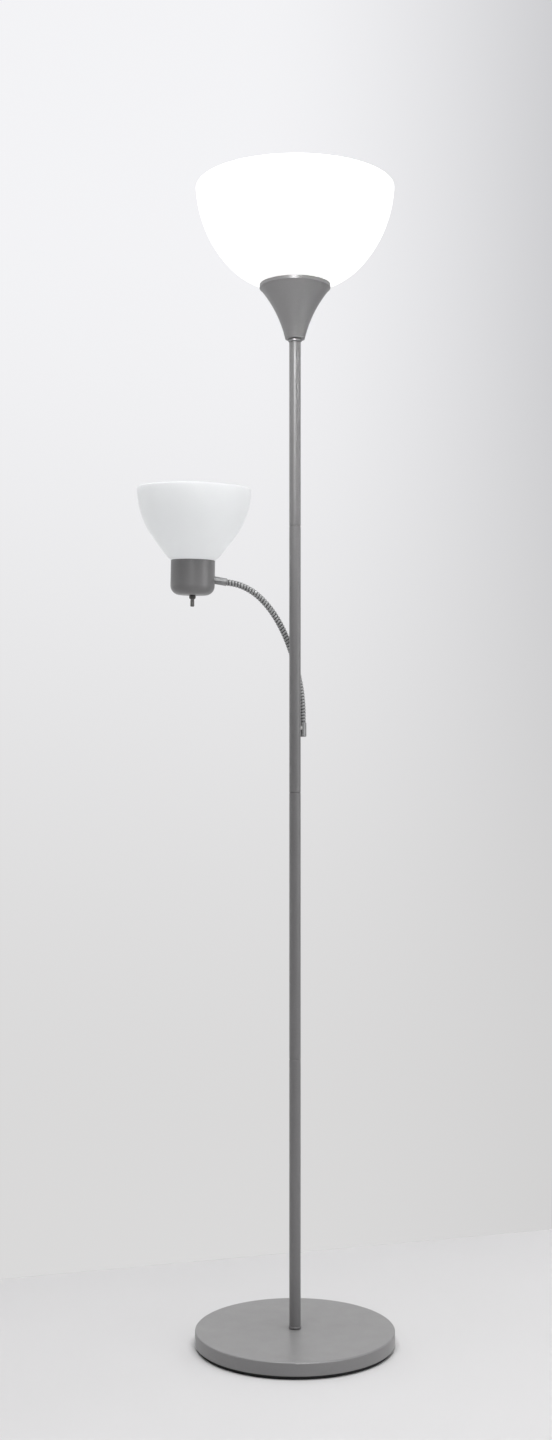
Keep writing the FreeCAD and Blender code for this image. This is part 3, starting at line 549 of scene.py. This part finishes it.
class Course:
    """The gooseneck's centre line, as the solids have it: out of the lower fitting, round in one
    upright plane behind the pole, and into the reading light."""

    def __init__(self):
        low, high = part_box("arm_lower_fitting")
        start = Vector(((low.x + high.x) / 2, (low.y + high.y) / 2, high.z))
        count = round(HOSE_LENGTH / COURSE_STEP)
        self.stride = HOSE_LENGTH / count
        self.spots = [start]
        for index in range(count):
            ahead = self.direction((index + 0.5) * self.stride)
            self.spots.append(self.spots[-1] + ahead * self.stride)

    def direction(self, along):
        """The way that the hose goes, at that length from its lower end."""
        share = (along - HOSE_STRAIGHT) / (HOSE_LENGTH - 2 * HOSE_STRAIGHT)
        share = min(max(share, 0), 1)
        middle = BEND_TOTAL - BEND_START - BEND_END
        turn = math.radians(BEND_START * share + middle * share ** 2 + BEND_END * share ** 4)
        return Vector((-math.sin(turn), 0, math.cos(turn)))

    def point(self, along):
        """The middle of the hose; beyond either end it runs straight on."""
        inside = min(max(along, 0), HOSE_LENGTH)
        index = min(int(inside / self.stride), len(self.spots) - 2)
        part = inside / self.stride - index
        spot = self.spots[index].lerp(self.spots[index + 1], part)
        return spot + self.direction(inside) * (along - inside)


def rib_height(phase):
    """How far the hose stands out at that share of a pitch: a rounded crest and a narrow groove."""
    if phase >= CREST_SHARE:
        return 0.0
    offset = abs(2 * phase / CREST_SHARE - 1)
    return (1 - offset ** CREST_POWER) ** 0.5


def hose_piece(name, course, start, end):
    """A closed length of ribbed hose. Its ribs wind round it as one long screw and run out in
    the last millimetre before each fitting."""
    count = max(2, round((end - start) / RIB_PITCH * ROWS_PER_PITCH))
    across = Vector((0, 1, 0))
    vertices, faces, ribs = [], [], []
    for row in range(count + 1):
        along = start + (end - start) * row / count
        middle, ahead = course.point(along), course.direction(along)
        side = ahead.cross(across)
        fade = min(max(along / MM, 0), max((HOSE_LENGTH - along) / MM, 0), 1)
        for column in range(HOSE_COLUMNS):
            share = column / HOSE_COLUMNS
            rib = rib_height((along / RIB_PITCH - share) % 1) * fade
            reach = GROOVE_RADIUS + (CREST_RADIUS - GROOVE_RADIUS) * rib
            angle = 2 * math.pi * share
            vertices.append(middle + (across * math.cos(angle) + side * math.sin(angle)) * reach)
            ribs.append(rib)
    for row in range(count):
        for column in range(HOSE_COLUMNS):
            after = (column + 1) % HOSE_COLUMNS
            base = row * HOSE_COLUMNS
            faces.append((base + column, base + HOSE_COLUMNS + column,
                          base + HOSE_COLUMNS + after, base + after))
    faces.append(tuple(range(HOSE_COLUMNS)))
    faces.append(tuple(reversed(range(count * HOSE_COLUMNS, (count + 1) * HOSE_COLUMNS))))
    piece = mesh_piece(name, vertices, faces, FINISHES["hose_nickel"], sharp=60)
    values = piece.data.attributes.new(RIB_VALUE, "FLOAT", "POINT")
    values.data.foreach_set("value", ribs)
    return piece


def arm_body(link):
    """The body that a link of the gooseneck belongs to."""
    if link == 1:
        return "stand"
    if link == HOSE_LINKS:
        return "reading_head"
    return f"arm_{link}"


def make_gooseneck():
    """Nine lengths of hose, cut at the middle of each link; the first rides with the stand, the last with the
    reading head, and the seven between are left unattached.
    """
    course = Course()
    cuts = [(link - 0.5) * LINK_LENGTH for link in range(1, HOSE_LINKS + 1)]
    first = hose_piece("hose_0", course, -HOSE_SINK, cuts[0])
    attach(first, arm_body(1))
    stand_for("gooseneck_1")
    for link in range(1, HOSE_LINKS):
        start, end = cuts[link - 1], cuts[link]
        piece = hose_piece(f"hose_{link}", course, start, end)
        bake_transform(piece)
        stand_for(f"gooseneck_{link + 1}")
    last = hose_piece(f"hose_{HOSE_LINKS}", course, cuts[-1], HOSE_LENGTH + HOSE_SINK)
    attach(last, arm_body(HOSE_LINKS))


# ---------------------------------------------------------------- stage and light

FLOOR_COLOUR = (0.665, 0.66, 0.665)
WALL_LIT = (0.8, 0.8, 0.8)                 # for the light that it throws back at the lamp
# The wall as the camera sees it: paler higher up is painted glow, darker to the right is painted shade.
WALL_TOP = (0.90, 0.90, 0.92)
WALL_LOW = (0.70, 0.695, 0.695)
WALL_TOP_RIGHT = (0.47, 0.47, 0.485)
WALL_LOW_RIGHT = (0.62, 0.615, 0.615)
WALL_MIDDLE = Vector((0.0, 0.492, 0.0))    # where the wall meets the floor behind the pole
WALL_TURN = 17.8                           # degrees, its right end away from the viewer
WALL_HALF = 6.0
WALL_HEIGHT = 5.0
FLOOR_HALF = 40.0
PAINTED_GLOW_HEIGHT = (0.2, 1.9)                   # painted glow: the wall grows paler between these heights
PAINTED_SHADE_REACH = (-0.1, 0.9)                    # painted shade: and darker to the right between these places


def seen_directly(nodes, links):
    """1 for rays from the camera, reflections and glass, and 0 for the rays that light things."""
    path = nodes.new("ShaderNodeLightPath")
    total = path.outputs["Is Camera Ray"]
    for name in ("Is Glossy Ray", "Is Transmission Ray"):
        add = nodes.new("ShaderNodeMath")
        add.operation = "ADD"
        add.use_clamp = True
        links.new(total, add.inputs[0])
        links.new(path.outputs[name], add.inputs[1])
        total = add.outputs["Value"]
    return total


def eased(nodes, links, value, start, end):
    """Rises smoothly from 0 to 1 as the value goes from start to end."""
    ramp = nodes.new("ShaderNodeMapRange")
    ramp.interpolation_type = "SMOOTHSTEP"
    ramp.inputs["From Min"].default_value = start
    ramp.inputs["From Max"].default_value = end
    links.new(value, ramp.inputs["Value"])
    return ramp.outputs["Result"]


def colour_between(nodes, links, share, first, second):
    """A colour that goes from the first to the second; each is a colour or a socket."""
    mix = nodes.new("ShaderNodeMix")
    mix.data_type = "RGBA"
    ends = {socket.name: socket for socket in mix.inputs if socket.type == "RGBA"}
    for name, colour in (("A", first), ("B", second)):
        if isinstance(colour, tuple):
            ends[name].default_value = (*colour, 1)
        else:
            links.new(colour, ends[name])
    links.new(share, mix.inputs["Factor"])
    return [socket for socket in mix.outputs if socket.type == "RGBA"][0]


def wall_material():
    """A pale wall, paler higher up as painted glow and darker to the right as painted shade, that isn't there from
    behind.
    """
    finish = Finish("wall", WALL_LIT, 0.9)
    nodes, links = finish.nodes, finish.links
    split = nodes.new("ShaderNodeSeparateXYZ")
    links.new(finish.place(), split.inputs["Vector"])
    # painted glow upwards and painted shade to the right
    height = eased(nodes, links, split.outputs["Z"], *PAINTED_GLOW_HEIGHT)
    reach = eased(nodes, links, split.outputs["X"], *PAINTED_SHADE_REACH)
    left = colour_between(nodes, links, height, WALL_LOW, WALL_TOP)
    right = colour_between(nodes, links, height, WALL_LOW_RIGHT, WALL_TOP_RIGHT)
    shown = nodes.new("ShaderNodeEmission")
    links.new(colour_between(nodes, links, reach, left, right), shown.inputs["Color"])
    front = nodes.new("ShaderNodeMixShader")
    links.new(seen_directly(nodes, links), front.inputs["Fac"])
    links.new(finish.shader.outputs["BSDF"], front.inputs[1])
    links.new(shown.outputs["Emission"], front.inputs[2])
    behind = nodes.new("ShaderNodeBsdfTransparent")
    side = nodes.new("ShaderNodeNewGeometry")
    whole = nodes.new("ShaderNodeMixShader")
    links.new(side.outputs["Backfacing"], whole.inputs["Fac"])
    links.new(front.outputs["Shader"], whole.inputs[1])
    links.new(behind.outputs["BSDF"], whole.inputs[2])
    links.new(whole.outputs["Shader"], nodes["Material Output"].inputs["Surface"])
    return finish


def make_stage():
    """The floor, and a wall behind the lamp that stands at a slant."""
    floor_finish = Finish("floor", FLOOR_COLOUR, 0.85)
    floor_finish.shade((floor_finish.noise(0.4), 0.008))
    half = FLOOR_HALF
    corners = [(-half, -half, 0), (half, -half, 0), (half, half, 0), (-half, half, 0)]
    floor = mesh_piece("floor", corners, [(0, 1, 2, 3)], floor_finish)
    turn = math.radians(WALL_TURN)
    along = Vector((math.cos(turn), math.sin(turn), 0)) * WALL_HALF
    up = Vector((0, 0, WALL_HEIGHT))
    left, right = WALL_MIDDLE - along, WALL_MIDDLE + along
    wall = mesh_piece("wall", [left, right, right + up, left + up], [(0, 1, 2, 3)],
                      wall_material())


WORLD_LIGHT = (0.08, 0.081, 0.084)         # as it lights things
WORLD_SHOWN = (0.68, 0.68, 0.685)          # as the camera sees it

# Each lamp's place, the point that it faces, width, height, watts, and spread in degrees.
LAMPS = {
    "ceiling_light": ((0.1, -0.6, 3.6), (0, 0, 0), 3.0, 2.4, 123, 180),
    "right_light": ((2.6, -1.0, 1.4), (0, 0, 0.8), 1.4, 2.2, 18, 180),
    "high_front_light": ((-0.2, -3.5, 2.45), (0, 0, 1.75), 0.6, 0.6, 1.8, 18),
}


def make_world():
    """A dim light from all round, and a pale grey where no wall is seen."""
    world = bpy.data.worlds.new("room")
    world.use_nodes = True
    nodes, links = world.node_tree.nodes, world.node_tree.links
    light = nodes["Background"]
    light.inputs["Color"].default_value = (*WORLD_LIGHT, 1)
    shown = nodes.new("ShaderNodeBackground")
    shown.inputs["Color"].default_value = (*WORLD_SHOWN, 1)
    mix = nodes.new("ShaderNodeMixShader")
    links.new(seen_directly(nodes, links), mix.inputs["Fac"])
    links.new(light.outputs["Background"], mix.inputs[1])
    links.new(shown.outputs["Background"], mix.inputs[2])
    links.new(mix.outputs["Shader"], nodes["World Output"].inputs["Surface"])
    bpy.context.scene.world = world


def area_light(name, place, target, width, height, power, spread):
    """A rectangular lamp that faces the target."""
    data = bpy.data.lights.new(name, "AREA")
    data.shape = "RECTANGLE"
    data.size = width
    data.size_y = height
    data.energy = power
    data.spread = math.radians(spread)
    lamp = bpy.data.objects.new(name, data)
    lamp.location = place
    lamp.rotation_euler = (Vector(target) - Vector(place)).to_track_quat("-Z", "Y").to_euler()
    bpy.context.scene.collection.objects.link(lamp)


def make_lights():
    for name, settings in LAMPS.items():
        area_light(name, *settings)


# ---------------------------------------------------------------- run

make_camera()
make_world()
make_stage()
make_lights()
dress_nodes()
make_upper_shade()
make_reading_shade()
make_switch()
make_gooseneck()

bpy.context.scene.view_settings.view_transform = "Standard"
